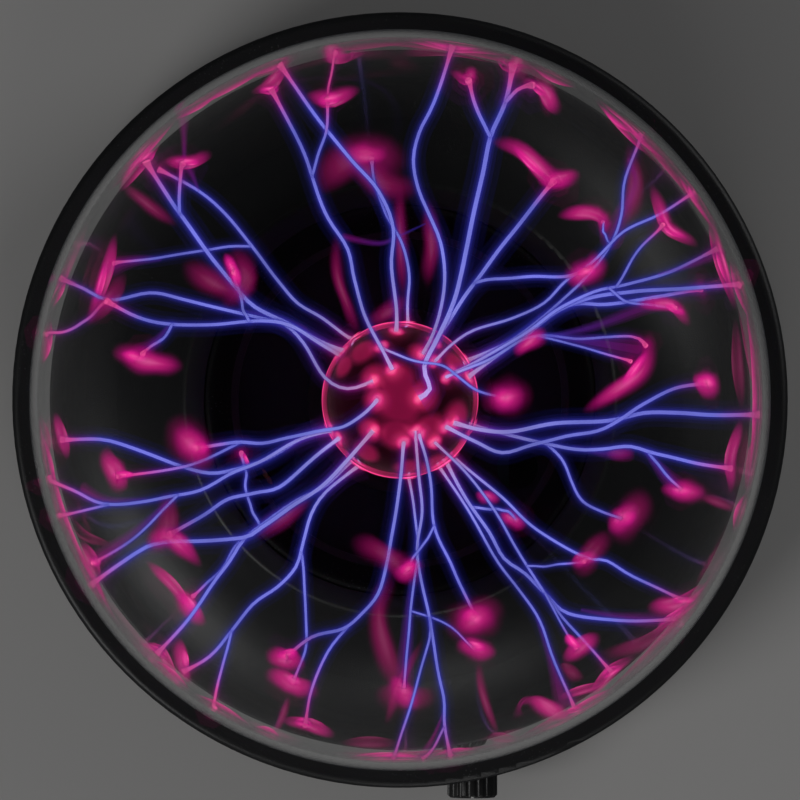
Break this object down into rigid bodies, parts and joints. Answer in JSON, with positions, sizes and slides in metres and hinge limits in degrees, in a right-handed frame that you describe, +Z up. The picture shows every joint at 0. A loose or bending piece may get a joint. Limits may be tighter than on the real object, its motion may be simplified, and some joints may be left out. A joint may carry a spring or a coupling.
{
  "type": "plasma ball lamp",
  "caption": "Plasma ball: sealed clear glass globe round a coated glass electrode on a flared round base, with a rocker switch, a brightness knob and a barrel power socket.",
  "frame": {"origin": "on the surface that the rubber feet stand on, under the globe's centre", "axes": "+Z up along the globe's and base's axis; -Y is the front, with the controls; +Y is the back, with the power socket"},
  "size_m": [0.224, 0.2273, 0.27],
  "materials": {
    "globe_glass": "clear polished blown glass",
    "electrode_glass": "clear blown glass",
    "electrode_coating": "dark conductive coating",
    "spring_metal": "bright spring strip",
    "lead_silicone": "red silicone insulation",
    "ivory_nylon": "natural nylon",
    "black_rubber": "matt moulded rubber",
    "black_plastic": "fine-grained moulded black",
    "inner_plastic": "plain moulded black",
    "panel_plastic": "satin black",
    "switch_plastic": "semi-gloss black",
    "knob_plastic": "matt black with a light pointer",
    "screw_steel": "zinc plated",
    "black_steel": "black oxide",
    "bright_steel": "nickel plated",
    "brass_tag": "tinned brass",
    "microphone_can": "drawn can",
    "board_laminate": "green solder mask",
    "ferrite": "sintered dark grey",
    "potted_coil": "potted winding under dark tape",
    "enamelled_wire": "enamelled copper wire",
    "sink_aluminium": "plain extruded",
    "chip_epoxy": "matt black epoxy",
    "capacitor_sleeve": "dark blue sleeve",
    "capacitor_epoxy": "red-brown dip",
    "resistor_body": "lacquered",
    "red_wire": "PVC insulation",
    "yellow_wire": "PVC insulation",
    "black_wire": "PVC insulation",
    "grey_wire": "PVC insulation"
  },
  "bodies": {
    "lamp": {"glass_globe": "globe_glass", "inner_bulb": "electrode_glass", "exhaust_tip": "electrode_glass", "electrode_lining": "electrode_coating", "contact_fingers": "spring_metal", "hv_lead": "lead_silicone", "stem_plug": "ivory_nylon", "globe_gasket": "black_rubber", "neck_bushing": "ivory_nylon", "globe_retainer": "inner_plastic", "retainer_screws": "screw_steel", "base_shell": "black_plastic", "bottom_plate": "inner_plastic", "base_screws": "black_steel", "rubber_feet": "black_rubber", "control_panel": "panel_plastic", "switch_housing": "switch_plastic", "switch_terminals": "brass_tag", "pot_body": "bright_steel", "pot_nut": "bright_steel", "pot_terminals": "brass_tag", "microphone": "microphone_can", "dc_jack_body": "switch_plastic", "dc_jack_pin": "bright_steel", "dc_jack_nut": "bright_steel", "dc_jack_terminals": "brass_tag", "circuit_board": "board_laminate", "board_screws": "screw_steel", "coil_former": "ivory_nylon", "flyback_core": "ferrite", "hv_winding": "potted_coil", "primary_winding": "enamelled_wire", "power_transistor": "chip_epoxy", "transistor_screw": "screw_steel", "heat_sink": "sink_aluminium", "electrolytic_capacitors": "capacitor_sleeve", "film_capacitors": "capacitor_epoxy", "resistors": "resistor_body", "driver_chip": "chip_epoxy", "wire_headers": "ivory_nylon", "switch_leads": "red_wire", "pot_leads": "yellow_wire", "jack_leads": "black_wire", "microphone_leads": "grey_wire"},
    "rocker": {"switch_rocker": "switch_plastic"},
    "knob": {"pot_shaft": "bright_steel", "brightness_knob": "knob_plastic"}
  },
  "joints": [
    {"name": "rocker_tilt", "type": "hinge", "parent": "lamp", "child": "rocker", "pos_m": [-0.019, -0.102, 0.0188], "axis": [0, 0, -1], "range_deg": [0, 24]},
    {"name": "knob_turn", "type": "hinge", "parent": "lamp", "child": "knob", "pos_m": [0.021, -0.107, 0.0188], "axis": [0, -1, 0], "range_deg": [-150, 150]}
  ]
}
